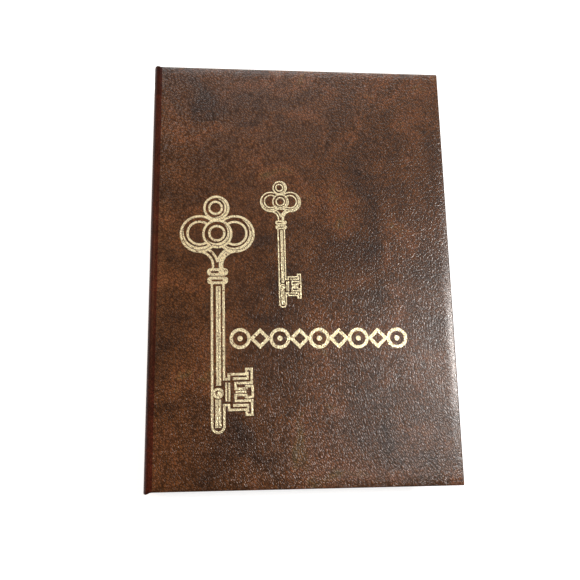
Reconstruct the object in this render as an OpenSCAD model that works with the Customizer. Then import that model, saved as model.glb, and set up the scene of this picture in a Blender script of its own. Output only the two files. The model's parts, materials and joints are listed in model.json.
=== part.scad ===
// Loose-leaf desk address book: a hard case of three covered boards, a six-ring
// mechanism on the spine, and a stepped A to Z index with plain leaves.
// The closed book lies on its back cover: X from spine to fore edge, Y from
// tail to head, Z up through the thickness.

/* [Case] */
// Width of each cover, from the spine's outer face to the fore edge
cover_w = 133; // [124:1:170]
// Height of the covers, from tail to head
cover_h = 189; // [186:1:240]
// Thickness of the closed book over both covers
book_t = 25; // [24:0.5:32]
// Thickness of the binder's board in covers and spine
board_t = 2; // [1.5:0.1:2.4]
// Thickness of the leatherette that wraps the boards
skin_t = 0.6; // [0.4:0.05:0.8]
// Thickness of the leatherette turned in over the inner edges
turn_t = 0.4; // [0.2:0.05:0.5]
// Thickness of the paper lining inside the covers
lining_t = 0.5; // [0.3:0.05:0.7]
// Width of the turned-in border that stays visible inside
turn_w = 4; // [2:0.5:8]
// Outer radius of the leatherette where the spine turns into a cover
corner_r = 3; // [2:0.1:3.5]
// Distance from a hinge line to the board on either side of it
hinge_edge = 3; // [2.8:0.1:4]
// Thickness of the lining strip inside a hinge
hinge_lining_t = 0.3; // [0.2:0.05:0.5]

/* [Gold blocking] */
// Thickness of the gold foil on the front cover
foil_t = 0.08; // [0.05:0.01:0.2]
// Width of a drawn foil line
line_w = 1; // [0.6:0.05:1.2]
// Size of the small key against the large one
small_key = 0.56; // [0.4:0.02:0.7]
// Lean of both keys to the left, in degrees
key_lean = 0.6; // [0:0.1:2]
// Motifs in the bead and lozenge band
band_motifs = 9; // [5:2:11]
// Length of the band
band_l = 77; // [60:1:80]
// Height of the band's motifs
band_h = 9; // [5:0.5:10]

/* [Rings] */
// Radius of a closed ring, at the middle of its wire
ring_r = 6.8; // [6:0.1:7]
// Radius of the ring wire
wire_r = 1; // [0.7:0.05:1.1]
// Distance between neighbouring rings in each group of three
ring_step = 19; // [17:0.5:20]
// Distance between the two groups, from inner ring to inner ring
ring_gap = 51; // [40:1:55]
// Distance from the leaves' head and tail edges to the shield's ends
shield_inset = 6; // [4:0.5:8]
// Half of the shield's width
shield_hw = 6.6; // [6.4:0.1:7]
// Height of the shield's sides over the lining
shield_side = 1.6; // [1.5:0.1:1.8]
// Rise of the shield's arch over its sides
shield_rise = 1.8; // [1.6:0.1:2]
// Thickness of the shield's sheet steel
shield_t = 0.5; // [0.3:0.05:0.6]
// Thickness of the two toggle rails
rail_t = 0.6; // [0.4:0.05:0.8]
// Radius of the rivets that hold the shield
rivet_r = 1.5; // [1:0.1:1.8]

/* [Leaves] */
// Width of a leaf from its binding edge
leaf_w = 108; // [100:1:109]
// Height of a leaf
leaf_h = 178; // [170:1:180]
// Distance from the binding edge to the hole centres
hole_edge = 5; // [4.6:0.1:5.2]
// Radius of the ring holes
hole_r = 3.2; // [3:0.05:3.4]
// Thickness of an index card
index_t = 0.3; // [0.2:0.02:0.32]
// Thickness of the pages behind each index card
pages_t = 0.32; // [0.2:0.02:0.34]
// Reach of an index tab past the pages
tab_w = 7; // [5:0.5:8]
// Rounding of the leaves' fore corners
leaf_round = 4; // [2:0.5:8]
// Rounding of a tab's corners
tab_round = 1.5; // [0.5:0.1:2.5]

/* [Hidden] */
$fn = 48;
LETTERS = ["ab", "cd", "ef", "gh", "ij", "kl", "mn", "op", "qr", "st", "uv", "w", "xyz"];

leather = "#4f2c1c";
gold = "#cfb67c";
card = "#e9dfc4";
paper = "#f4efe2";
steel = "#c9ccd0";
grey_board = "#8f8a80";
lining_paper = "#e6d9bd";

// Reach of a cutting body past the face that it opens
cut = 1;
spine_x = -cover_w / 2;
mid_z = book_t / 2;
// A hinge line lies this far inside both outer faces, so that the strip keeps its length
hinge_in = corner_r * (1 - PI / 4);
hinge_off = hinge_in + hinge_edge;
panel_w = cover_w - hinge_off;
spine_w = book_t - 2 * hinge_off;
panel_t = skin_t + board_t + lining_t;
lining_hy = cover_h / 2 - skin_t - turn_w;
// Height of the rings' axis over the spine's lining
axis_h = mid_z - panel_t;

// The shield is an arch of sheet steel on two upright sides
shield_top = shield_side + shield_rise;
shield_l = leaf_h - 2 * shield_inset;
arch_r = (pow(shield_hw, 2) + pow(shield_rise, 2)) / (2 * shield_rise);
arch_h = shield_top - arch_r;
rail_clear = 0.15;
pivot_v = shield_hw - shield_t - rail_clear;
rail_top = arch_h + sqrt(pow(arch_r - shield_t, 2) - pow(pivot_v, 2)) - rail_clear;
pivot_h = rail_top - rail_t / 2;
rail_gap = 0.1;
// The wire leaves its circle where it is this far from the middle, and runs straight down
leg_edge = 0.05;
leg_v = pivot_v - wire_r - leg_edge;
leg_angle = asin(leg_v / ring_r);
leg_h = axis_h - ring_r * cos(leg_angle);
leg_clear = 0.2;
ring_joint = 0.1;
tail_r = 0.7 * wire_r;
tail_clear = 0.02;
tail_in = 0.3;
RING_Y = [for (s = [-1, 1]) for (i = [0 : 2]) s * (ring_gap / 2 + i * ring_step)];

// Levers turn on pins across the shield's ends
lever_t = 0.8;
lever_arm = 4;
lever_arm_clear = 0.3;
lever_tip = 3;
lever_neck_w = 4;
lever_wide_w = 9;
lever_tilt = 15;
lever_bend = 45;
lever_boss_r = 1;
pin_r = 0.5;
pin_clear = 0.05;
pin_drop = 0.45;
pin_h = shield_side - pin_drop;
lever_in = 3;
lever_y = shield_l / 2 - lever_in;
// The lever's tip turns up just past the leaves
lever_past = 0.8;
lever_reach = (shield_inset + lever_in + lever_past) / cos(lever_tilt);
rail_l = 2 * (lever_y - lever_arm - lever_arm_clear);

// The rivets stand between the second and third ring of each group
rivet_y = ring_gap / 2 + 1.5 * ring_step;
rivet_clear = 0.05;
rivet_head_r = 3.5;
rivet_head_t = 0.6;
rivet_dome_r = 2.4;
rivet_dome_h = 0.7;
rivet_notch_clear = 0.2;
rivet_notch_r = rivet_dome_r + rivet_notch_clear;

// Index and pages lie on the rings as one stack, each on its own chord of the wire
count = len(LETTERS);
leaf_gap = 0.02;
leaf_pitch = index_t + pages_t + 2 * leaf_gap;
stack_half = count * leaf_pitch / 2;
leaf_clear = 0.3;
leaf_reach = ring_r - hole_edge + leaf_w + tab_w;
stack_tilt = asin((axis_h - leaf_clear - stack_half) / leaf_reach);
tab_h = leaf_h / count;
function index_d(i) = stack_half - i * leaf_pitch - index_t / 2;
function pages_d(i) = index_d(i) - index_t / 2 - leaf_gap - pages_t / 2;
function chord(d) = sqrt(pow(ring_r, 2) - pow(d, 2));

module along_y(length) {
    rotate([90, 0, 0]) linear_extrude(height = length, center = true) children();
}

module block(from, to) {
    translate(from) cube(to - from);
}

// A panel lies on its outer face with a hinge edge at x = 0, and at x = w too if both
module panel_skin(w, both = false) {
    hy = cover_h / 2;
    far = both ? w - lining_t : w - skin_t;
    top = skin_t + board_t;
    difference() {
        block([0, -hy, 0], [w, hy, top + turn_t]);
        block([lining_t, skin_t - hy, skin_t], [far, hy - skin_t, top]);
        block([-cut, -lining_hy, skin_t], [lining_t + cut, lining_hy, top + cut]);
        block([-cut, -lining_hy, top], [both ? w + cut : far - turn_w, lining_hy, top + cut]);
        if (both)
            block([w - lining_t - cut, -lining_hy, skin_t], [w + cut, lining_hy, top + cut]);
    }
}

module panel_board(w, both = false) {
    hy = cover_h / 2 - skin_t;
    block([lining_t, -hy, skin_t], [both ? w - lining_t : w - skin_t, hy, skin_t + board_t]);
}

module panel_lining(w, both = false) {
    far = both ? w : w - skin_t - turn_w;
    block([0, -lining_hy, skin_t + board_t], [far, lining_hy, panel_t]);
    block([0, -lining_hy, skin_t], [lining_t, lining_hy, skin_t + board_t]);
    if (both)
        block([w - lining_t, -lining_hy, skin_t], [w, lining_hy, skin_t + board_t]);
}

module at_back() {
    translate([spine_x + hinge_off, 0, 0]) children();
}

module at_front() {
    translate([spine_x + hinge_off, 0, book_t]) mirror([0, 0, 1]) children();
}

// Turns a piece that stands on X and Y so that it stands on the spine and faces the leaves
module to_spine() {
    mirror([1, 0, 0]) rotate([0, -90, 0]) children();
}

module at_spine() {
    translate([spine_x, 0, hinge_off]) to_spine() children();
}

// Rings and shield: x across the spine, y along it, z away from its lining
module on_spine() {
    translate([spine_x + panel_t, 0, mid_z]) to_spine() children();
}

module hinge_band(depth, thick, length) {
    along_y(length) {
        difference() {
            intersection() {
                translate([corner_r, corner_r]) circle(r = corner_r - depth);
                square(corner_r);
            }
            translate([corner_r, corner_r]) circle(r = corner_r - depth - thick);
        }
        translate([corner_r, depth]) square([hinge_off - corner_r, thick]);
        translate([depth, corner_r]) square([thick, hinge_off - corner_r]);
    }
}

module hinge_skin() {
    end = cover_h / 2 - lining_hy;
    hinge_band(0, skin_t, cover_h);
    for (s = [-1, 1])
        translate([0, s * (lining_hy + end / 2), 0]) hinge_band(skin_t, skin_t, end);
}

module hinge_lining() {
    hinge_band(skin_t, hinge_lining_t, 2 * lining_hy);
}

module at_back_hinge() {
    translate([spine_x, 0, 0]) children();
}

module at_front_hinge() {
    translate([spine_x, 0, book_t]) mirror([0, 0, 1]) children();
}

module back_leatherette() color(leather) at_back() panel_skin(panel_w);
module back_board() color(grey_board) at_back() panel_board(panel_w);
module back_lining() color(lining_paper) at_back() panel_lining(panel_w);
module front_leatherette() color(leather) at_front() panel_skin(panel_w);
module front_board() color(grey_board) at_front() panel_board(panel_w);
module front_lining() color(lining_paper) at_front() panel_lining(panel_w);
module spine_leatherette() color(leather) at_spine() panel_skin(spine_w, true);
module back_hinge_skin() color(leather) at_back_hinge() hinge_skin();
module front_hinge_skin() color(leather) at_front_hinge() hinge_skin();
module back_hinge_lining() color(lining_paper) at_back_hinge() hinge_lining();
module front_hinge_lining() color(lining_paper) at_front_hinge() hinge_lining();

module rivet_holes(r, from, to) {
    for (s = [-1, 1])
        translate([0, s * rivet_y, from]) cylinder(r = r, h = to - from);
}

module spine_board() {
    color(grey_board) difference() {
        at_spine() panel_board(spine_w, true);
        on_spine() rivet_holes(rivet_r + rivet_clear, -panel_t, cut);
        on_spine() rivet_holes(rivet_head_r + rivet_clear, -panel_t, rivet_head_t + skin_t - panel_t);
    }
}

module spine_lining() {
    color(lining_paper) difference() {
        at_spine() panel_lining(spine_w, true);
        on_spine() rivet_holes(rivet_r + rivet_clear, -panel_t, cut);
    }
}

module arch(r, hw) {
    intersection() {
        translate([0, arch_h]) circle(r = r, $fn = 96);
        translate([-hw, 0]) square([2 * hw, shield_top + cut]);
    }
}

module ring_shield() {
    color(steel) on_spine() difference() {
        along_y(shield_l) difference() {
            arch(arch_r, shield_hw);
            translate([0, -cut]) square([2 * (shield_hw - shield_t), 2 * cut], center = true);
            arch(arch_r - shield_t, shield_hw - shield_t);
        }
        for (y = RING_Y) for (s = [-1, 1])
            translate([s * leg_v, y, 0]) cylinder(r = wire_r + leg_clear, h = shield_top);
        rivet_holes(rivet_r + rivet_clear, 0, shield_top + cut);
        for (s = [-1, 1])
            translate([-shield_hw - cut, s * lever_y, pin_h]) rotate([0, 90, 0])
                cylinder(r = pin_r, h = 2 * (shield_hw + cut));
    }
}

module shield_rivets() {
    base = skin_t - panel_t;
    color(steel) on_spine() {
        rivet_holes(rivet_head_r, base, base + rivet_head_t);
        rivet_holes(rivet_r, base + rivet_head_t, shield_top);
        for (s = [-1, 1])
            translate([0, s * rivet_y, shield_top]) rotate_extrude() intersection() {
                dome_r = (pow(rivet_dome_r, 2) + pow(rivet_dome_h, 2)) / (2 * rivet_dome_h);
                translate([0, rivet_dome_h - dome_r]) circle(r = dome_r, $fn = 96);
                square([rivet_dome_r, rivet_dome_h]);
            }
    }
}

module lever_pins() {
    color(steel) on_spine() for (s = [-1, 1])
        translate([-shield_hw, s * lever_y, pin_h]) rotate([0, 90, 0])
            cylinder(r = pin_r, h = 2 * shield_hw);
}

module half_rail() {
    difference() {
        translate([rail_gap, -rail_l / 2, pivot_h - rail_t / 2])
            cube([pivot_v - rail_gap, rail_l, rail_t]);
        rivet_holes(rivet_notch_r, 0, shield_top);
        for (y = RING_Y)
            translate([leg_v, y, 0]) cylinder(r = tail_r + tail_clear, h = shield_top);
    }
}

module half_rings() {
    for (y = RING_Y) translate([0, y, 0]) {
        translate([0, 0, axis_h]) rotate([90, 0, 0]) rotate([0, 0, leg_angle - 90])
            rotate_extrude(angle = 180 - leg_angle - asin(ring_joint / 2 / ring_r))
                translate([ring_r, 0]) circle(r = wire_r);
        translate([leg_v, 0, leg_h]) sphere(r = wire_r);
        translate([leg_v, 0, rail_top]) cylinder(r = wire_r, h = leg_h - rail_top);
        translate([leg_v, 0, rail_top - rail_t]) cylinder(r = tail_r, h = rail_t + tail_in);
    }
}

module front_rail() color(steel) on_spine() half_rail();
module back_rail() color(steel) on_spine() mirror([1, 0, 0]) half_rail();
module front_half_rings() color(steel) on_spine() half_rings();
module back_half_rings() color(steel) on_spine() mirror([1, 0, 0]) half_rings();

// A bar of the lever, seen from the side, from its pin outwards
module lever_bar(length) {
    translate([0, -lever_t / 2]) square([length, lever_t]);
}

module across(width) {
    rotate([90, 0, 90]) linear_extrude(height = width, center = true) children();
}

module lever() {
    translate([0, lever_y, pin_h]) difference() {
        union() {
            across(lever_neck_w) {
                circle(r = lever_boss_r);
                mirror([1, 0]) lever_bar(lever_arm);
                rotate(lever_tilt) lever_bar(lever_in + lever_t);
            }
            across(lever_wide_w) rotate(lever_tilt) {
                translate([lever_in + lever_t, 0]) lever_bar(lever_reach - lever_in - lever_t);
                translate([lever_reach, 0]) {
                    circle(r = lever_t / 2);
                    rotate(lever_bend) lever_bar(lever_tip);
                }
            }
        }
        across(lever_neck_w + 2 * cut) circle(r = pin_r + pin_clear);
    }
}

module head_lever() color(steel) on_spine() lever();
module tail_lever() color(steel) on_spine() mirror([0, 1, 0]) lever();

// A plain leaf: square at the binding edge, rounded at the fore corners
module leaf_outline() {
    difference() {
        union() {
            translate([0, -leaf_h / 2]) square([leaf_w - leaf_round, leaf_h]);
            translate([0, leaf_round - leaf_h / 2]) square([leaf_w, leaf_h - 2 * leaf_round]);
            for (s = [-1, 1])
                translate([leaf_w - leaf_round, s * (leaf_h / 2 - leaf_round)]) circle(r = leaf_round);
        }
        for (y = RING_Y) translate([hole_edge, y]) circle(r = hole_r);
    }
}

module tab_outline(i) {
    y = leaf_h / 2 - (i + 0.5) * tab_h;
    translate([leaf_w - leaf_round - cut, y - tab_h / 2])
        square([leaf_round + cut + tab_w - tab_round, tab_h]);
    translate([leaf_w, y + tab_round - tab_h / 2]) square([tab_w, tab_h - 2 * tab_round]);
    for (s = [-1, 1])
        translate([leaf_w + tab_w - tab_round, y + s * (tab_h / 2 - tab_round)]) circle(r = tab_round);
}

module in_stack(d, thick) {
    translate([spine_x + mid_z, 0, mid_z]) rotate([0, stack_tilt, 0])
        translate([chord(d) - hole_edge, 0, d - thick / 2]) linear_extrude(height = thick) children();
}

module index_card(letters) {
    i = search([letters], LETTERS)[0];
    color(card) in_stack(index_d(i), index_t) {
        leaf_outline();
        tab_outline(i);
    }
}

module pages(letters) {
    i = search([letters], LETTERS)[0];
    color(paper) in_stack(pages_d(i), pages_t) leaf_outline();
}

// Gold blocking, drawn on the front cover seen from outside, in millimetres
large_key_at = [-37.2, 14.3];
small_key_at = [-9.2, 29.4];
band_at = [6.7, -32.1];

// Bow of the key: three rings round a fourth, which lies on top. Each is an outline, a
// smaller ring, and a crescent of foil between them where the light falls on it
bow_r = 6.6;
bow_hole_r = 3.8;
bow_light = -50;
lobe_r = 8.55;
lobe_hole_r = 5.7;
lobe_x = 7.8;
LOBE_LIGHT = [-95, -40];
crown_r = 5.75;
crown_hole_r = 3.3;
crown_at = [-0.4, 11.9];
crown_light = -10;
hole_shift = 0.35;
light_gap = 0.3;
light_ends = 0.4;
// Neck: two pairs of arcs that flow out of the lobes' outlines down to the collars
neck_low = -15.6;
neck_r = 6.75;
neck_at = [8.2, line_w - lobe_r - neck_r];
notch_r = 8.8;
notch_low = -12.9;
// Breadth of the neck's right outer arc, which is foil through and through
neck_shade = 1.9;
// Collars and shank, measured down from the bow's middle
collar_w = 9.1;
collar_t = 3.3;
collar_step = 3.75;
COLLAR_SLOTS = [[-1.2, 3.4], [-0.2, 4.8]];
slot_w = 0.9;
shank_hw = 3;
shank_top = -22.7;
core_at = 0.25;
core_w = 2.2;
core_top = -23.6;
core_low = -66.2;
core_strip = 0.42;
ball_y = -69.4;
ball_r = 2.25;
ball_core_r = 0.95;
ball_light = [0.3, -0.2];
tip_top = -72;
tip_low = -83.6;
tip_w = 2.6;
key_low = -86;
// Bit of the key, half of it from its middle upwards: the drawn line's corners
bit_y = -69;
bit_in = shank_hw - line_w / 2;
bit_foot = 4.5;
bit_slot = 7.3;
bit_step = 11.8;
bit_out = 14.1;
bit_knob = 14.4;
BIT_LINE = [
    [bit_in, 5.4], [bit_foot, 5.4], [bit_foot, 7.4], [bit_step, 7.4], [bit_step, 9.5],
    [bit_out, 9.5], [bit_out, 3.7], [bit_slot, 3.7], [bit_slot, 1.3], [bit_step, 1.3],
    [bit_step, 2.3], [bit_knob, 2.3], [bit_knob, 0]
];
// Filled bars inside the bit: left, low, wide and high, above its middle
BIT_BARS = [[6.2, 5, 6.6, 1.1], [12, 5, 0.8, 3.3]];
BIT_FLUTES = [3, 4.3];
flute_w = 0.75;
flute_l = 7.8;
tongue_w = 0.9;
// Band: each bead's ring and centre, and the foil left round a lozenge
bead_w = 1.4;
bead_core = 0.25;
lozenge_w = 2;

// A straight foil line between two corners that share an x or a y
module stroke(a, b, w = line_w) {
    lo = [min(a[0], b[0]), min(a[1], b[1])];
    hi = [max(a[0], b[0]), max(a[1], b[1])];
    translate(lo - [w / 2, w / 2]) square(hi - lo + [w, w]);
}

module ring_line(r) {
    difference() {
        circle(r = r);
        circle(r = r - line_w);
    }
}

// A crescent of foil between a ring's outline and its hole, widest towards an angle
module crescent(r, hole, light) {
    outer = r - line_w - light_gap;
    inner = hole + light_gap;
    shift = (outer - inner) / 2 + light_ends;
    difference() {
        circle(r = outer);
        rotate(light) translate([-shift, 0]) circle(r = inner + shift);
    }
}

module drawn_ring(r, hole, light) {
    ring_line(r);
    rotate(light) translate([-hole_shift, 0]) ring_line(hole);
    crescent(r, hole, light);
}

module bow() {
    drawn_ring(bow_r, bow_hole_r, bow_light);
    difference() {
        translate(crown_at) drawn_ring(crown_r, crown_hole_r, crown_light);
        circle(r = bow_r);
    }
    difference() {
        for (i = [0, 1]) translate([(2 * i - 1) * lobe_x, 0])
            drawn_ring(lobe_r, lobe_hole_r, LOBE_LIGHT[i]);
        circle(r = bow_r);
        translate(crown_at) circle(r = crown_r);
    }
}

// An arc of the neck: part of a ring round neck_at, kept between two heights
module neck_arc(r, w, low) {
    intersection() {
        translate([-neck_at[0], neck_at[1]]) difference() {
            circle(r = r);
            circle(r = r - w);
        }
        translate([-neck_at[0], low]) square([neck_at[0] + line_w / 2, -low - bow_r]);
    }
}

module neck() {
    difference() {
        for (s = [0, 1]) mirror([s, 0]) {
            neck_arc(neck_r, line_w, neck_low);
            neck_arc(notch_r, line_w, notch_low);
            if (s == 1) neck_arc(neck_r + neck_shade - line_w, neck_shade, neck_low);
        }
        for (s = [-1, 1]) translate([s * lobe_x, 0]) circle(r = lobe_r - line_w / 2);
    }
}

module collar(i) {
    r = collar_t / 2;
    slot = COLLAR_SLOTS[i];
    translate([0, neck_low - r - i * collar_step]) difference() {
        union() {
            square([collar_w - collar_t, collar_t], center = true);
            for (s = [-1, 1]) translate([s * (collar_w - collar_t) / 2, 0]) circle(r = r);
        }
        translate([slot[0], 0]) square([slot[1], slot_w], center = true);
    }
}

// Two narrow strips of foil side by side
module core(at, top, low, w) {
    for (s = [-1, 1])
        translate([at + s * w / 4, (top + low) / 2]) square([w * core_strip, top - low], center = true);
}

module shank() {
    mid = shank_hw - line_w / 2;
    stroke([-mid, shank_top], [-mid, key_low + shank_hw]);
    stroke([mid, shank_top], [mid, bit_y + BIT_LINE[0][1]]);
    stroke([mid, bit_y - BIT_LINE[0][1]], [mid, key_low + shank_hw]);
    translate([0, key_low + shank_hw]) intersection() {
        ring_line(shank_hw);
        translate([0, -shank_hw / 2]) square([2 * shank_hw, shank_hw], center = true);
    }
    core(core_at, core_top, core_low, core_w);
    core(0, tip_top, tip_low, tip_w);
    translate([0, ball_y]) {
        ring_line(ball_r);
        translate(ball_light) circle(r = ball_core_r);
    }
}

module key_bit() {
    last = len(BIT_LINE) - 2;
    translate([0, bit_y]) {
        for (s = [0, 1]) mirror([0, s]) {
            for (i = [0 : last]) stroke(BIT_LINE[i], BIT_LINE[i + 1]);
            for (bar = BIT_BARS) translate([bar[0], bar[1]]) square([bar[2], bar[3]]);
        }
        translate([bit_slot, -tongue_w / 2]) square([bit_step - bit_slot, tongue_w]);
        for (x = BIT_FLUTES) translate([x, -flute_l / 2]) square([flute_w, flute_l]);
    }
}

module key_outline() {
    bow();
    neck();
    for (i = [0, 1]) collar(i);
    shank();
    key_bit();
}

module lozenge(size) {
    rotate(45) square(size / sqrt(2), center = true);
}

// A border of ringed beads and hollow lozenges by turns
module band_outline() {
    step = (band_l - band_h) / (band_motifs - 1);
    r = band_h / 2;
    for (i = [0 : band_motifs - 1]) translate([i * step - (band_l - band_h) / 2, 0]) {
        if (i % 2 == 0) {
            difference() {
                circle(r = r);
                circle(r = r - bead_w);
            }
            circle(r = r * bead_core);
        } else difference() {
            lozenge(band_h);
            lozenge(band_h - 2 * lozenge_w);
        }
    }
}

module on_cover(at, scale_to = 1, lean = 0) {
    translate([at[0], at[1], book_t]) rotate(lean) scale([scale_to, scale_to, 1])
        linear_extrude(height = foil_t) children();
}

module large_key_foil() color(gold) on_cover(large_key_at, 1, key_lean) key_outline();
module small_key_foil() color(gold) on_cover(small_key_at, small_key, key_lean) key_outline();
module band_foil() color(gold) on_cover(band_at) band_outline();

back_leatherette();
back_board();
back_lining();
spine_leatherette();
spine_board();
spine_lining();
front_leatherette();
front_board();
front_lining();
back_hinge_skin();
front_hinge_skin();
back_hinge_lining();
front_hinge_lining();
large_key_foil();
small_key_foil();
band_foil();
ring_shield();
shield_rivets();
lever_pins();
front_rail();
back_rail();
front_half_rings();
back_half_rings();
head_lever();
tail_lever();
index_card("ab");  // index_ab
index_card("cd");  // index_cd
index_card("ef");  // index_ef
index_card("gh");  // index_gh
index_card("ij");  // index_ij
index_card("kl");  // index_kl
index_card("mn");  // index_mn
index_card("op");  // index_op
index_card("qr");  // index_qr
index_card("st");  // index_st
index_card("uv");  // index_uv
index_card("w");  // index_w
index_card("xyz");  // index_xyz
pages("ab");  // pages_ab
pages("cd");  // pages_cd
pages("ef");  // pages_ef
pages("gh");  // pages_gh
pages("ij");  // pages_ij
pages("kl");  // pages_kl
pages("mn");  // pages_mn
pages("op");  // pages_op
pages("qr");  // pages_qr
pages("st");  // pages_st
pages("uv");  // pages_uv
pages("w");  // pages_w
pages("xyz");  // pages_xyz
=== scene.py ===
import json
import math
import random

import bmesh
import bpy
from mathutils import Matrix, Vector


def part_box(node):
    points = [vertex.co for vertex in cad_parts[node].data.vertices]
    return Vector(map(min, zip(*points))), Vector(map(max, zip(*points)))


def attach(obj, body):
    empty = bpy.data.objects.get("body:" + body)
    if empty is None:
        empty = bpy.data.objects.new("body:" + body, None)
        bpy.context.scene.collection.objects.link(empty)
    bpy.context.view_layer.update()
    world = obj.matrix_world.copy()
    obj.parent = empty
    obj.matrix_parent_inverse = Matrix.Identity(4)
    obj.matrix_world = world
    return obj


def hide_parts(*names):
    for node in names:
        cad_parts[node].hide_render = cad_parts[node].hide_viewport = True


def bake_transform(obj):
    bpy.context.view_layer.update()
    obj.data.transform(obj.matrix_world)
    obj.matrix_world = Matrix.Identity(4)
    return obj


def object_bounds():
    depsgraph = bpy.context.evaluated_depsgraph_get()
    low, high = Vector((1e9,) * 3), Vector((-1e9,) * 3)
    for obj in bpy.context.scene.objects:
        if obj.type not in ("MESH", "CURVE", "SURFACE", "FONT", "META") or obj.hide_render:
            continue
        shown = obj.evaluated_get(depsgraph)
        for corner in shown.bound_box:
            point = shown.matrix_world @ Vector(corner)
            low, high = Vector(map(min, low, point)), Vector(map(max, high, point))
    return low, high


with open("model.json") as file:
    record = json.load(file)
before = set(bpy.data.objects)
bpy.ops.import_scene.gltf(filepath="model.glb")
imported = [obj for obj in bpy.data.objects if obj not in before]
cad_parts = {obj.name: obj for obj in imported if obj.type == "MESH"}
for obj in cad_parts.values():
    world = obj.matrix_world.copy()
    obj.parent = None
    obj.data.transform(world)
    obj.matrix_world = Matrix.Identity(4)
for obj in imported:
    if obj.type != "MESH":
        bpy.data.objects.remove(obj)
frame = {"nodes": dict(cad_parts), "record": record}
cad_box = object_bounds()


# Covering. One sheet of embossed PVC leatherette on paper, marbled brown, is drawn over the
# three boards of the case and turned in round their edges. Each board's part of it is folded
# here as it is by hand: face, sides and turned-in border, with its two fore corners mitred.
MM = 0.001
SKIN = 0.4 * MM
FOLD_ROUND = 0.6 * MM
CORNER_LAP = 0.08 * MM
TURN_IN = 4.6 * MM
SMOOTH_ANGLE = math.radians(40)
UP, HEAD, FORE = Vector((0, 0, 1)), Vector((0, 1, 0)), Vector((1, 0, 0))


def linear(code):
    """Linear colour of an sRGB hex value."""
    parts = [int(code[i:i + 2], 16) / 255 for i in (1, 3, 5)]
    return (*[p / 12.92 if p <= 0.04045 else ((p + 0.055) / 1.055) ** 2.4 for p in parts], 1)


def add_node(tree, kind, inputs, **settings):
    """A shader node whose sockets take either a value or another node's socket."""
    made = tree.nodes.new("ShaderNode" + kind)
    for name, value in settings.items():
        setattr(made, name, value)
    for socket, value in inputs.items():
        if isinstance(value, bpy.types.NodeSocket):
            tree.links.new(value, made.inputs[socket])
        else:
            made.inputs[socket].default_value = value
    return made


def colour_steps(tree, factor, steps):
    """A ramp from colour to colour, each at its share of the factor."""
    ramp = add_node(tree, "ValToRGB", {"Fac": factor})
    stops = ramp.color_ramp.elements
    while len(stops) < len(steps):
        stops.new(1)
    for stop, (share, code) in zip(stops, steps):
        stop.position = share
        stop.color = linear(code)
    return ramp.outputs["Color"]


def new_material(name):
    material = bpy.data.materials.new(name)
    material.use_nodes = True
    return material, material.node_tree, material.node_tree.nodes["Principled BSDF"]


# The grain's pebbles are 1.6 mm long and 0.8 mm broad, and lie on a slant. Noises are counted per
# metre: clouds 24 mm, flecks 0.8 mm, and bends in the pebbles' outlines 1.1 mm across.
PEBBLE = (1.6 * MM, 0.8 * MM, 1 * MM)
PEBBLE_SLANT = math.radians(-50)
PEBBLE_STRAY = 0.5 * MM
CREASE_SHARE = 0.25
BENDS_PER_M = 900
CLOUDS_PER_M = 42
FLECKS_PER_M = 1300


def grain_height(tree, place):
    """Height of the embossed grain: round domes with creases between them."""
    bend = add_node(tree, "TexNoise", {"Vector": place, "Scale": BENDS_PER_M, "Detail": 2})
    shift = add_node(tree, "VectorMath", {0: bend.outputs["Color"], 1: (PEBBLE_STRAY,) * 3},
                     operation="MULTIPLY")
    bent = add_node(tree, "VectorMath", {0: place, 1: shift.outputs[0]}, operation="ADD")
    turned = add_node(tree, "Mapping", {"Vector": bent.outputs[0], "Rotation": (0, 0, PEBBLE_SLANT),
                                        "Scale": PEBBLE}, vector_type="TEXTURE")
    cells = add_node(tree, "TexVoronoi", {"Vector": turned.outputs[0], "Scale": 1},
                     feature="DISTANCE_TO_EDGE")
    pebbles = add_node(tree, "MapRange", {"Value": cells.outputs["Distance"],
                                          "From Max": CREASE_SHARE}, interpolation_type="SMOOTHSTEP")
    return pebbles.outputs["Result"]


def printed_leatherette(name, clouds, crease_shade_range, depth, gloss, roughness):
    """Embossed and marbled PVC: a dark print in soft clouds, under a satin lacquer, with painted shade in
    the grain's creases and painted light on its domes.
    """
    material, tree, shader = new_material(name)
    place = add_node(tree, "Attribute", {}, attribute_name="place").outputs["Vector"]
    drift = add_node(tree, "TexNoise", {"Vector": place, "Scale": CLOUDS_PER_M, "Detail": 4,
                                        "Roughness": 0.6, "Distortion": 0.8})
    marbled = colour_steps(tree, drift.outputs["Fac"], clouds)
    flecks = add_node(tree, "TexNoise", {"Vector": place, "Scale": FLECKS_PER_M, "Detail": 3})
    fleck_shade = add_node(tree, "MapRange", {"Value": flecks.outputs["Fac"], "From Min": 0.3,
                                              "From Max": 0.7, "To Min": 0.68, "To Max": 1.32})
    pebbles = grain_height(tree, place)
    # Painted shade and light of the relief: the creases between the pebbles are darkened and the domes
    # lightened.
    crease = add_node(tree, "MapRange", {"Value": pebbles, "To Min": crease_shade_range[0],
                                         "To Max": crease_shade_range[1]})
    shade = add_node(tree, "Math", {0: fleck_shade.outputs["Result"], 1: crease.outputs["Result"]},
                     operation="MULTIPLY")
    tinted = add_node(tree, "Mix", {0: 1.0, 6: marbled, 7: shade.outputs[0]}, data_type="RGBA",
                      blend_type="MULTIPLY")
    tree.links.new(tinted.outputs[2], shader.inputs["Base Color"])
    relief = add_node(tree, "Bump", {"Height": pebbles, "Strength": 1.0, "Distance": depth})
    tree.links.new(relief.outputs[0], shader.inputs["Normal"])
    shader.inputs["Roughness"].default_value = roughness
    shader.inputs["Specular IOR Level"].default_value = gloss
    shader.inputs["IOR"].default_value = 1.5
    return material


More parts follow.
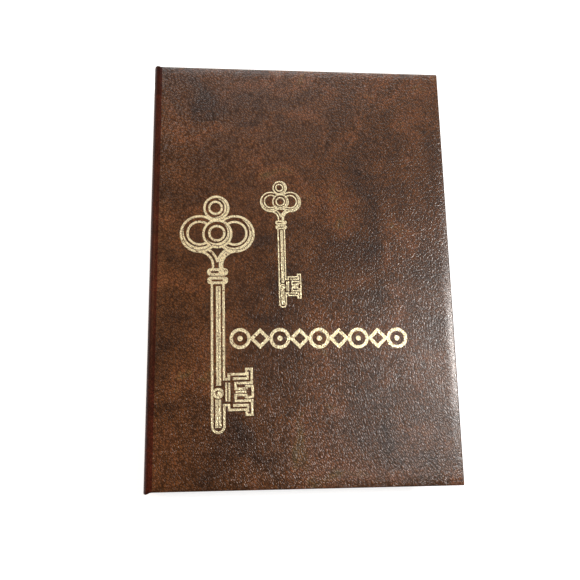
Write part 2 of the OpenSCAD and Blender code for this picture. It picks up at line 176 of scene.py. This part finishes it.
# Over the boards the print has clouds of rust and olive, and the lacquer greys it wherever a
# lamp is mirrored.
leatherette = printed_leatherette(
    "marbled_leatherette", clouds=((0.3, "#392417"), (0.42, "#4c2e17"), (0.53, "#5a371c"),
                                   (0.62, "#6a4023"), (0.75, "#5e4d2b")),
    crease_shade_range=(0.4, 1.22), depth=0.042 * MM, gloss=0.52, roughness=0.28)
shader = leatherette.node_tree.nodes["Principled BSDF"]
shader.inputs["Coat Weight"].default_value = 0.25
shader.inputs["Coat Roughness"].default_value = 0.2


def edit(piece):
    bpy.ops.object.select_all(action="DESELECT")
    piece.select_set(True)
    bpy.context.view_layer.objects.active = piece
    bpy.ops.object.mode_set(mode="EDIT")


def pick(piece, kind, wanted):
    """Selects only the wanted faces, edges or corners of the piece being edited."""
    bpy.ops.mesh.select_mode(type=kind)
    bpy.ops.mesh.select_all(action="DESELECT")
    shape = bmesh.from_edit_mesh(piece.data)
    for part in {"FACE": shape.faces, "EDGE": shape.edges, "VERT": shape.verts}[kind]:
        part.select_set(wanted(part))
    bmesh.update_edit_mesh(piece.data)


def slice_at(place, normal):
    bpy.ops.mesh.select_all(action="SELECT")
    bpy.ops.mesh.bisect(plane_co=place, plane_no=normal)


def finish_shape(piece, material):
    """Applies the piece's modifiers, smooths its round faces and gives it its material."""
    bpy.ops.object.select_all(action="DESELECT")
    piece.select_set(True)
    bpy.context.view_layer.objects.active = piece
    for modifier in list(piece.modifiers):
        bpy.ops.object.modifier_apply(modifier=modifier.name)
    bpy.ops.object.shade_smooth_by_angle(angle=SMOOTH_ANGLE)
    piece.data.materials.clear()
    piece.data.materials.append(material)


def mark_place(piece):
    """Keeps each point's place at rest, so that the grain stays put where the sheet bends."""
    kept = piece.data.attributes.new("place", "FLOAT_VECTOR", "POINT")
    kept.data.foreach_set("vector", [c for v in piece.data.vertices for c in v.co])


def wrap_board(name, node, body, outward, across, hinges):
    """The covering of one board, open along the hinge sides where it runs on into the hinges."""
    low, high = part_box(node)
    bpy.ops.object.select_all(action="DESELECT")
    bpy.ops.mesh.primitive_cube_add(size=1, location=(low + high) / 2, scale=high - low)
    piece = bpy.context.object
    piece.name = name
    bpy.ops.object.transform_apply()
    border = high.y - TURN_IN
    fore = high.dot(across) - TURN_IN
    inner_face = min(low.dot(outward), high.dot(outward))
    tiny = 0.01 * MM

    def at_hinge(point):
        return any(abs((point - (low if side.dot(across) < 0 else high)).dot(side)) < tiny
                   for side in hinges)

    edit(piece)
    for side in (-1, 1):
        slice_at(HEAD * side * border, HEAD)
    if len(hinges) == 1:
        slice_at(across * fore, across)

    def opened(face):
        middle = face.calc_center_median()
        if abs(middle.y) > border:
            return False
        return any(face.normal.dot(side) > 0.9 for side in hinges) or (
            face.normal.dot(outward) < -0.9 and (len(hinges) == 2 or middle.dot(across) < fore))

    pick(piece, "FACE", opened)
    bpy.ops.mesh.delete(type="FACE")
    pick(piece, "EDGE", lambda e: len(e.link_faces) == 2 and e.calc_face_angle() > 1
         and not all(at_hinge(v.co) for v in e.verts))
    bpy.ops.mesh.bevel(offset=FOLD_ROUND, segments=4, affect="EDGES")
    if len(hinges) == 1:
        for side in (-1, 1):
            ends = [Vector((fore, side * border, 0)),
                    Vector((high.x - FOLD_ROUND, side * (high.y - FOLD_ROUND), 0))]
            pick(piece, "VERT", lambda v: abs(v.co.dot(outward) - inner_face) < tiny
                 and any((v.co - end).xy.length < tiny for end in ends))
            bpy.ops.mesh.vert_connect()
    pick(piece, "FACE", lambda f: f.normal.dot(outward) < -0.99 and abs(f.calc_center_median().y) > border
         and (len(hinges) == 2 or abs(f.calc_center_median().y) - border > f.calc_center_median().x - fore))
    bpy.ops.mesh.extrude_region_move(TRANSFORM_OT_translate={"value": -outward * CORNER_LAP})
    bpy.ops.object.mode_set(mode="OBJECT")
    piece.modifiers.new("thickness", "SOLIDIFY").thickness = SKIN
    finish_shape(piece, leatherette)
    mark_place(piece)
    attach(piece, body)
    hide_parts(node)


wrap_board("back_covering", "back_leatherette", "back_cover", -UP, FORE, [-FORE])
wrap_board("spine_covering", "spine_leatherette", "spine", -FORE, UP, [-UP, UP])
wrap_board("front_covering", "front_leatherette", "front_cover", UP, FORE, [-FORE])

# Hinges. Between the boards the same sheet runs on by itself, doubled at head and tail where
# it is turned in, and a strip of lining backs it.
case_low, case_high = cad_box[0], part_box("front_leatherette")[1]
HINGE_BEND = 3 * MM
HEADCAP = 0.8 * MM
HINGE_SKIN = 0.6 * MM
HINGE_LINING = 0.3 * MM
HINGE_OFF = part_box("spine_leatherette")[0].z
BORDER = case_high.y - TURN_IN
BEND_STEPS = 10
HINGES = (("back", ("back_cover", "spine")), ("front", ("spine", "front_cover")))
# Where it runs round the corner the sheet is printed darker and redder: painted shade for the
# rounded side that turns away from the lamps. There it is also flatter in grain and dull.
painted_shade_leatherette = printed_leatherette(
    "painted_shade_leatherette", clouds=((0.3, "#2b1009"), (0.5, "#411c10"), (0.62, "#4b2013"), (0.8, "#392412")),
    crease_shade_range=(0.7, 1.15), depth=0.015 * MM, gloss=0.15, roughness=0.4)


def bend_strip(name, node, depth, thick, reach, doubled, material, front):
    """A strip that follows the rounded corner of the case, this deep under its outer face."""
    edge_z, inward = (case_high.z, -1) if front else (0, 1)
    start_x = case_low.x + HINGE_OFF
    bpy.ops.object.select_all(action="DESELECT")
    bpy.ops.mesh.primitive_plane_add(size=1, location=(start_x, 0, edge_z + inward * (depth + thick / 2)),
                                     rotation=(0, math.radians(90), 0))
    piece = bpy.context.object
    piece.name = name
    piece.scale = (thick, 2 * reach, 1)
    bpy.ops.object.transform_apply()
    edit(piece)
    if doubled:
        for side in (-1, 1):
            slice_at(HEAD * side * BORDER, HEAD)
        inner_z = edge_z + inward * (depth + thick)
        pick(piece, "EDGE", lambda e: all(abs(v.co.z - inner_z) < thick / 4 for v in e.verts)
             and abs(e.verts[0].co.y + e.verts[1].co.y) / 2 > BORDER)
        bpy.ops.mesh.extrude_edges_move(TRANSFORM_OT_translate={"value": UP * inward * thick})
        pick(piece, "VERT", lambda v: abs(v.co.y) > reach - thick / 4 and abs(v.co.z - inner_z) > thick / 2)
        bpy.ops.mesh.bevel(offset=0.95 * thick, segments=4, affect="VERTICES")
    bpy.ops.mesh.select_mode(type="FACE")
    bpy.ops.mesh.select_all(action="SELECT")
    bpy.ops.mesh.extrude_region_move(TRANSFORM_OT_translate={"value": FORE * (HINGE_BEND - HINGE_OFF)})
    bpy.ops.mesh.spin(steps=BEND_STEPS, angle=math.radians(-90) * inward, axis=HEAD,
                      center=(case_low.x + HINGE_BEND, 0, edge_z + inward * HINGE_BEND))
    bpy.ops.mesh.extrude_region_move(TRANSFORM_OT_translate={
        "value": UP * inward * (HINGE_OFF - HINGE_BEND)})
    bpy.ops.mesh.select_all(action="SELECT")
    bpy.ops.mesh.remove_doubles(threshold=0.001 * MM)
    bpy.ops.mesh.normals_make_consistent(inside=False)
    for side in (-1, 1) if doubled else ():
        pick(piece, "VERT", lambda v: side * v.co.y > reach - 1.1 * thick
             and v.co.x < case_low.x + HINGE_BEND / 3)
        bpy.ops.transform.translate(value=HEAD * side * HEADCAP, use_proportional_edit=True,
                                    proportional_edit_falloff="SMOOTH", proportional_size=HINGE_BEND * 0.8)
    bpy.ops.object.mode_set(mode="OBJECT")
    finish_shape(piece, material)
    mark_place(piece)
    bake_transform(piece)
    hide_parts(node)
    return piece


for side, bodies in HINGES:
    skin = bend_strip(side + "_hinge_covering", side + "_hinge_skin", 0, HINGE_SKIN, case_high.y, True,
                      painted_shade_leatherette, side == "front")

# Lining. Cream laid paper pasted over the boards and the turned-in borders' inner edges, and
# over the hinges, so that the inside of the case is one smooth sheet. It is matt, and cloudy with
# fibres, drawn 1.1 mm across so that they show.
FIBRES_PER_M = 900
lining_paper, tree, shader = new_material("cream_lining_paper")
place = add_node(tree, "TexCoord", {}).outputs["Object"]
fibres = add_node(tree, "TexNoise", {"Vector": place, "Scale": FIBRES_PER_M, "Detail": 6, "Roughness": 0.7})
pulp = colour_steps(tree, fibres.outputs["Fac"], ((0.3, "#d9c8a4"), (0.5, "#e6d9bd"), (0.7, "#efe5cd")))
tree.links.new(pulp, shader.inputs["Base Color"])
tooth = add_node(tree, "Bump", {"Height": fibres.outputs["Fac"], "Strength": 0.3, "Distance": 0.05 * MM})
tree.links.new(tooth.outputs[0], shader.inputs["Normal"])
shader.inputs["Roughness"].default_value = 0.85


def dress(material, slot, *nodes):
    """A CAD node keeps its shape and takes a finish."""
    for node in nodes:
        piece = frame["nodes"][node]
        piece.data.materials.clear()
        piece.data.materials.append(material)


dress(lining_paper, "lining_paper", "back_lining", "spine_lining", "front_lining")
for side, bodies in HINGES:
    strip = bend_strip(side + "_hinge_paper", side + "_hinge_lining", HINGE_SKIN, HINGE_LINING, BORDER,
                       False, lining_paper, side == "front")

# Boards. Grey binder's board, milled and cut from waste paper, dull and speckled. Only its cut
# edges could ever be seen, at the hinges, so its specks are drawn coarse, 1.4 mm across.
SPECKS_PER_M = 700
greyboard, tree, shader = new_material("binders_board")
place = add_node(tree, "TexCoord", {}).outputs["Object"]
pulp = add_node(tree, "TexNoise", {"Vector": place, "Scale": SPECKS_PER_M, "Detail": 5})
tree.links.new(colour_steps(tree, pulp.outputs["Fac"], ((0.3, "#7d786e"), (0.7, "#9c968a"))),
               shader.inputs["Base Color"])
shader.inputs["Roughness"].default_value = 0.9
dress(greyboard, "greyboard", "back_board", "spine_board", "front_board")

# Gold blocking. Pale gold foil hot-pressed on the front cover. It follows the grain, misses the
# deepest creases and glitters where pebbles face a lamp. It is worn in spots 0.7 mm across.
WORN_SPOTS_PER_M = 1500
gold_foil, tree, shader = new_material("pressed_gold_foil")
place = add_node(tree, "TexCoord", {}).outputs["Object"]
pebbles = grain_height(tree, place)
patches = add_node(tree, "TexNoise", {"Vector": place, "Scale": WORN_SPOTS_PER_M, "Detail": 3})
worn = add_node(tree, "Math", {0: pebbles, 1: patches.outputs["Fac"]}, operation="ADD")
covered = add_node(tree, "MapRange", {"Value": worn.outputs[0], "From Min": 0.45, "From Max": 0.65})
foil_tint = add_node(tree, "Mix", {0: covered.outputs["Result"], 6: linear("#644127"), 7: linear("#fdf1c7")},
                     data_type="RGBA")
tree.links.new(foil_tint.outputs[2], shader.inputs["Base Color"])
shine = add_node(tree, "Math", {0: covered.outputs["Result"], 1: 0.75}, operation="MULTIPLY")
tree.links.new(shine.outputs[0], shader.inputs["Metallic"])
relief = add_node(tree, "Bump", {"Height": pebbles, "Strength": 0.6, "Distance": 0.07 * MM})
tree.links.new(relief.outputs[0], shader.inputs["Normal"])
shader.inputs["Roughness"].default_value = 0.38
dress(gold_foil, "gold_foil", "large_key_foil", "small_key_foil", "band_foil")

# Ring mechanism. Nickel-plated steel pressings and wire, bright, with faint drawn scratches. The
# stamped pieces are deburred, so their edges are softened; wire, pins and rivets stay as they are.
PRESSED_EDGE = 0.12 * MM
# Scratches are 0.25 mm broad and 17 mm long, coarser than real ones so that they show.
SCRATCHES_PER_M = (4000, 60, 4000)
nickel, tree, shader = new_material("nickel_plated_steel")
place = add_node(tree, "TexCoord", {}).outputs["Object"]
stretched = add_node(tree, "Mapping", {"Vector": place, "Scale": SCRATCHES_PER_M})
scratches = add_node(tree, "TexNoise", {"Vector": stretched.outputs[0], "Scale": 1, "Detail": 3})
polish = add_node(tree, "MapRange", {"Value": scratches.outputs["Fac"], "To Min": 0.12, "To Max": 0.32})
tree.links.new(polish.outputs["Result"], shader.inputs["Roughness"])
shader.inputs["Base Color"].default_value = linear("#cfcdc8")
shader.inputs["Metallic"].default_value = 1
dress(nickel, "nickel_steel", "shield_rivets", "lever_pins", "front_half_rings", "back_half_rings")
body_of = {node: body for body, nodes in frame["record"]["behaviour"]["bodies"].items() for node in nodes}


def copy_of(name, node):
    """A new piece in the shape of a CAD node, with its loose triangles joined."""
    piece = bpy.data.objects.new(name, frame["nodes"][node].data.copy())
    bpy.context.scene.collection.objects.link(piece)
    edit(piece)
    bpy.ops.mesh.select_all(action="SELECT")
    bpy.ops.mesh.remove_doubles(threshold=0.001 * MM)
    bpy.ops.object.mode_set(mode="OBJECT")
    return piece


for node in ("ring_shield", "head_lever", "tail_lever", "front_rail", "back_rail"):
    pressing = copy_of("pressed_" + node, node)
    softened = pressing.modifiers.new("deburred", "BEVEL")
    softened.width = PRESSED_EDGE
    softened.segments = 2
    softened.angle_limit = SMOOTH_ANGLE
    finish_shape(pressing, nickel)
    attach(pressing, body_of[node])
    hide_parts(node)

# Index cards. Cream card, die-cut with a stepped tab each. The tab is cased in a buff film,
# heat-sealed over both faces, and its letters are printed on both.
TAB_REACH = 7 * MM
TAB_START = 0.7 * MM
CARD = 0.3 * MM
FILM = 0.03 * MM
LETTER_HIGH = 4.3 * MM
LETTER_LINES = 0.85
# Fibres of card and paper are drawn 0.8 mm across so that they show, the film's haze 3 mm, and the
# ink's uneven spots 0.4 mm. Card is smooth and half matt, film is glossy, ink is dull.
CARD_FIBRES_PER_M = 1200
HAZE_PER_M = 300
INK_SPOTS_PER_M = 2500
INK = 0.008 * MM
index_card, tree, shader = new_material("cream_index_card")
place = add_node(tree, "TexCoord", {}).outputs["Object"]
pulp = add_node(tree, "TexNoise", {"Vector": place, "Scale": CARD_FIBRES_PER_M, "Detail": 5})
tree.links.new(colour_steps(tree, pulp.outputs["Fac"], ((0.3, "#dccca4"), (0.7, "#e9dcb9"))),
               shader.inputs["Base Color"])
shader.inputs["Roughness"].default_value = 0.6
tab_film, tree, shader = new_material("buff_celluloid_film")
place = add_node(tree, "TexCoord", {}).outputs["Object"]
haze = add_node(tree, "TexNoise", {"Vector": place, "Scale": HAZE_PER_M, "Detail": 3})
tree.links.new(colour_steps(tree, haze.outputs["Fac"], ((0.3, "#c9a765"), (0.7, "#d6b777"))),
               shader.inputs["Base Color"])
shader.inputs["Roughness"].default_value = 0.22
ink, tree, shader = new_material("printing_ink")
place = add_node(tree, "TexCoord", {}).outputs["Object"]
inked = add_node(tree, "TexNoise", {"Vector": place, "Scale": INK_SPOTS_PER_M, "Detail": 2})
tree.links.new(colour_steps(tree, inked.outputs["Fac"], ((0.3, "#2a1a12"), (0.7, "#402a1e"))),
               shader.inputs["Base Color"])
shader.inputs["Roughness"].default_value = 0.5
card_nodes = [node for node in frame["nodes"] if node.startswith("index_")]
dress(index_card, "index_card", *card_nodes)


def leaf_directions(piece):
    """The way out of a leaf's upper face, and the way along it to the fore edge."""
    widest = max(piece.data.polygons, key=lambda f: f.area * (f.normal.z > 0))
    return widest.normal.copy(), HEAD.cross(widest.normal)


for node in card_nodes:
    letters = node[len("index_"):]
    film = copy_of("tab_film_" + letters, node)
    out, along = leaf_directions(film)
    tip = max((v.co for v in film.data.vertices), key=lambda co: co.dot(along)).copy()
    tab_ends = [v.co.y for v in film.data.vertices if (tip - v.co).dot(along) < TAB_REACH - 2 * TAB_START]
    edit(film)
    bpy.ops.mesh.select_all(action="SELECT")
    bpy.ops.mesh.bisect(plane_co=tip - along * (TAB_REACH - TAB_START), plane_no=along, clear_inner=True,
                        use_fill=True)
    bpy.ops.mesh.select_all(action="SELECT")
    bpy.ops.transform.shrink_fatten(value=FILM)
    bpy.ops.object.mode_set(mode="OBJECT")
    finish_shape(film, tab_film)
    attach(film, body_of[node])
    level = sum((v.co.dot(out) for v in film.data.vertices)) / len(film.data.vertices)
    middle = along * (tip.dot(along) - (TAB_REACH - TAB_START) / 2) + out * level
    middle.y = (min(tab_ends) + max(tab_ends)) / 2
    for side, turn in (("front", 0), ("back", math.pi)):
        bpy.ops.object.select_all(action="DESELECT")
        bpy.ops.object.text_add()
        print_run = bpy.context.object
        print_run.data.body = "\n".join(letters.upper())
        print_run.data.align_x, print_run.data.align_y = "CENTER", "CENTER"
        print_run.data.size = LETTER_HIGH
        print_run.data.space_line = LETTER_LINES
        print_run.data.extrude = INK
        bpy.ops.object.convert(target="MESH")
        tilt = math.atan2(out.x, out.z)
        print_run.rotation_euler = (0, tilt + turn, 0)
        print_run.location = middle + out * (CARD / 2 + FILM) * (1 if turn == 0 else -1)
        bpy.ops.object.transform_apply()
        print_run.name = f"tab_print_{letters}_{side}"
        finish_shape(print_run, ink)
        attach(print_run, body_of[node])

# Pages. Behind each card lie three sheets of ruled writing paper, never quite flush, with their
# edges toned by age.
SHEETS = 3
SHEET = 0.085 * MM
SHEET_STEP = 0.11 * MM
LOOSE = 0.25 * MM
ROW = 7 * MM
RULE = 0.28 * MM
FIRST_ROW = 73.5 * MM
COLUMN = 22 * MM
TONED = 2 * MM
page_paper, tree, shader = new_material("ruled_writing_paper")
place = add_node(tree, "TexCoord", {}).outputs["Object"]
pulp = add_node(tree, "TexNoise", {"Vector": place, "Scale": CARD_FIBRES_PER_M, "Detail": 5})
paper = colour_steps(tree, pulp.outputs["Fac"], ((0.3, "#ece4cf"), (0.7, "#f4eedf")))
axes = add_node(tree, "SeparateXYZ", {0: place})


def rule_mask(distance, limit_to):
    """1 on a printed line, where a distance is under half its width, as far as limit_to."""
    line = add_node(tree, "Math", {0: distance, 1: RULE / 2}, operation="LESS_THAN")
    return add_node(tree, "Math", {0: line.outputs[0], 1: limit_to}, operation="MULTIPLY").outputs[0]


below = add_node(tree, "Math", {0: axes.outputs["Y"], 1: FIRST_ROW + RULE}, operation="LESS_THAN").outputs[0]
from_row = add_node(tree, "Math", {0: axes.outputs["Y"], 1: ROW / 2}, operation="PINGPONG").outputs[0]
rows = rule_mask(from_row, below)
side = add_node(tree, "Math", {0: axes.outputs["X"], 1: COLUMN}, operation="SUBTRACT").outputs[0]
from_column = add_node(tree, "Math", {0: side}, operation="ABSOLUTE").outputs[0]
column = rule_mask(from_column, below)
printed = add_node(tree, "Mix", {0: rows, 6: paper, 7: linear("#a9b7c4")}, data_type="RGBA")
printed = add_node(tree, "Mix", {0: column, 6: printed.outputs[2], 7: linear("#c9948a")}, data_type="RGBA")
leaf_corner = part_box("pages_ab")[1]
to_end = add_node(tree, "Math", {0: axes.outputs["Y"]}, operation="ABSOLUTE").outputs[0]
for distance, edge in ((to_end, leaf_corner.y), (axes.outputs["X"], leaf_corner.x)):
    aged = add_node(tree, "MapRange", {"Value": distance, "From Min": edge - TONED,
                                       "From Max": edge, "To Max": 0.7})
    printed = add_node(tree, "Mix", {0: aged.outputs["Result"], 6: printed.outputs[2],
                                     7: linear("#cdb588")}, data_type="RGBA")
tree.links.new(printed.outputs[2], shader.inputs["Base Color"])
shader.inputs["Roughness"].default_value = 0.8
random.seed(3)
for node in [node for node in frame["nodes"] if node.startswith("pages_")]:
    pile = []
    for i in range(SHEETS):
        sheet = copy_of(f"sheets_{node[len('pages_'):]}", node)
        out, along = leaf_directions(sheet)
        edit(sheet)
        pick(sheet, "FACE", lambda f: f.normal.dot(out) < 0.99)
        bpy.ops.mesh.delete(type="FACE")
        bpy.ops.mesh.select_all(action="SELECT")
        slip = along * random.uniform(-LOOSE, LOOSE) + HEAD * random.uniform(-LOOSE, LOOSE)
        bpy.ops.transform.translate(value=slip - out * i * SHEET_STEP)
        bpy.ops.object.mode_set(mode="OBJECT")
        sheet.modifiers.new("thickness", "SOLIDIFY").thickness = SHEET
        finish_shape(sheet, page_paper)
        pile.append(sheet)
    bpy.ops.object.select_all(action="DESELECT")
    for sheet in pile:
        sheet.select_set(True)
    bpy.context.view_layer.objects.active = pile[0]
    bpy.ops.object.join()
    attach(pile[0], body_of[node])
    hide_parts(node)

# Table top. A plain pale surface under the book. It glows towards the camera only, so that it
# shows white and keeps the book's shadow.
TABLE_GLOW = 0.85
bpy.ops.object.select_all(action="DESELECT")
bpy.ops.mesh.primitive_plane_add(size=4)
floor = bpy.context.object
floor.name = "table_top"
pale, tree, shader = new_material("pale_table_top")
shader.inputs["Base Color"].default_value = linear("#cfcfcf")
shader.inputs["Roughness"].default_value = 0.9
paths = add_node(tree, "LightPath", {})
seen = add_node(tree, "Math", {0: paths.outputs["Is Camera Ray"], 1: paths.outputs["Is Glossy Ray"]},
                operation="MAXIMUM")
seen = add_node(tree, "Math", {0: seen.outputs[0], 1: paths.outputs["Is Transmission Ray"]},
                operation="MAXIMUM")
lift = add_node(tree, "Math", {0: seen.outputs[0], 1: TABLE_GLOW}, operation="MULTIPLY")
tree.links.new(lift.outputs[0], shader.inputs["Emission Strength"])
shader.inputs["Emission Color"].default_value = (1, 1, 1, 1)
floor.data.materials.append(pale)

# Studio. A dim white room, white where it is seen and lightest at its walls, with a soft window
# light on the right whose reflection greys the cover's right side, a wide one beyond the head, and
# a small warm lamp on the left.
world = bpy.data.worlds.new("studio")
bpy.context.scene.world = world
world.use_nodes = True
tree = world.node_tree
paths = add_node(tree, "LightPath", {})
seen = add_node(tree, "Math", {0: paths.outputs["Is Camera Ray"],
                               1: paths.outputs["Is Transmission Ray"]}, operation="MAXIMUM")
towards = add_node(tree, "SeparateXYZ", {0: add_node(tree, "TexCoord", {}).outputs["Generated"]})
walls = add_node(tree, "MapRange", {"Value": towards.outputs["Z"], "From Max": 0.6, "To Min": 0.48,
                                    "To Max": 0.024})
sides = add_node(tree, "MapRange", {"Value": towards.outputs["X"], "From Min": -1.0, "To Min": 0.5,
                                    "To Max": 1.1})
walls = add_node(tree, "Math", {0: walls.outputs["Result"], 1: sides.outputs["Result"]},
                 operation="MULTIPLY")
room = add_node(tree, "MapRange", {"Value": seen.outputs[0], "To Min": walls.outputs[0], "To Max": 1.0})
tree.links.new(room.outputs["Result"], tree.nodes["Background"].inputs["Strength"])
tree.nodes["Background"].inputs["Color"].default_value = (1, 1, 1, 1)


def window_light(name, towards, distance, width, height, watts):
    """A soft rectangular lamp that faces the middle of the cover from a direction."""
    lamp = bpy.data.lights.new(name, "AREA")
    lamp.shape = "RECTANGLE"
    lamp.size, lamp.size_y = width, height
    lamp.energy = watts
    holder = bpy.data.objects.new(name, lamp)
    bpy.context.scene.collection.objects.link(holder)
    holder.location = Vector(towards).normalized() * distance
    holder.rotation_euler = Vector(towards).to_track_quat("Z", "Y").to_euler()
    return holder


right_window = window_light("right_window", (0.54, 0.09, 0.84), distance=1.4, width=0.22, height=0.3,
                            watts=12.8)
right_window.data.color = linear("#fffaf6")[:3]
window_light("head_window", (0.1, 0.85, 0.52), distance=1.4, width=0.8, height=0.46, watts=12.8)
warm_lamp = window_light("left_table_lamp", (-0.3, 0.08, 0.28), distance=0.42, width=0.12, height=0.12,
                         watts=0.44)
warm_lamp.data.color = linear("#ffd0a0")[:3]

# Camera. It looks down on the closed book from just left of and below its middle, close enough
# that the book's far end narrows.
camera = bpy.data.objects.new("photo_camera", bpy.data.cameras.new("photo_camera"))
bpy.context.scene.collection.objects.link(camera)
camera.location = (-0.03094, -0.07278, 0.31172)
camera.rotation_euler = [math.radians(a) for a in (12.216, -4.841, -0.961)]
camera.data.sensor_width = 36
camera.data.lens = 41.97
bpy.context.scene.camera = camera
bpy.context.scene.view_settings.view_transform = "Standard"
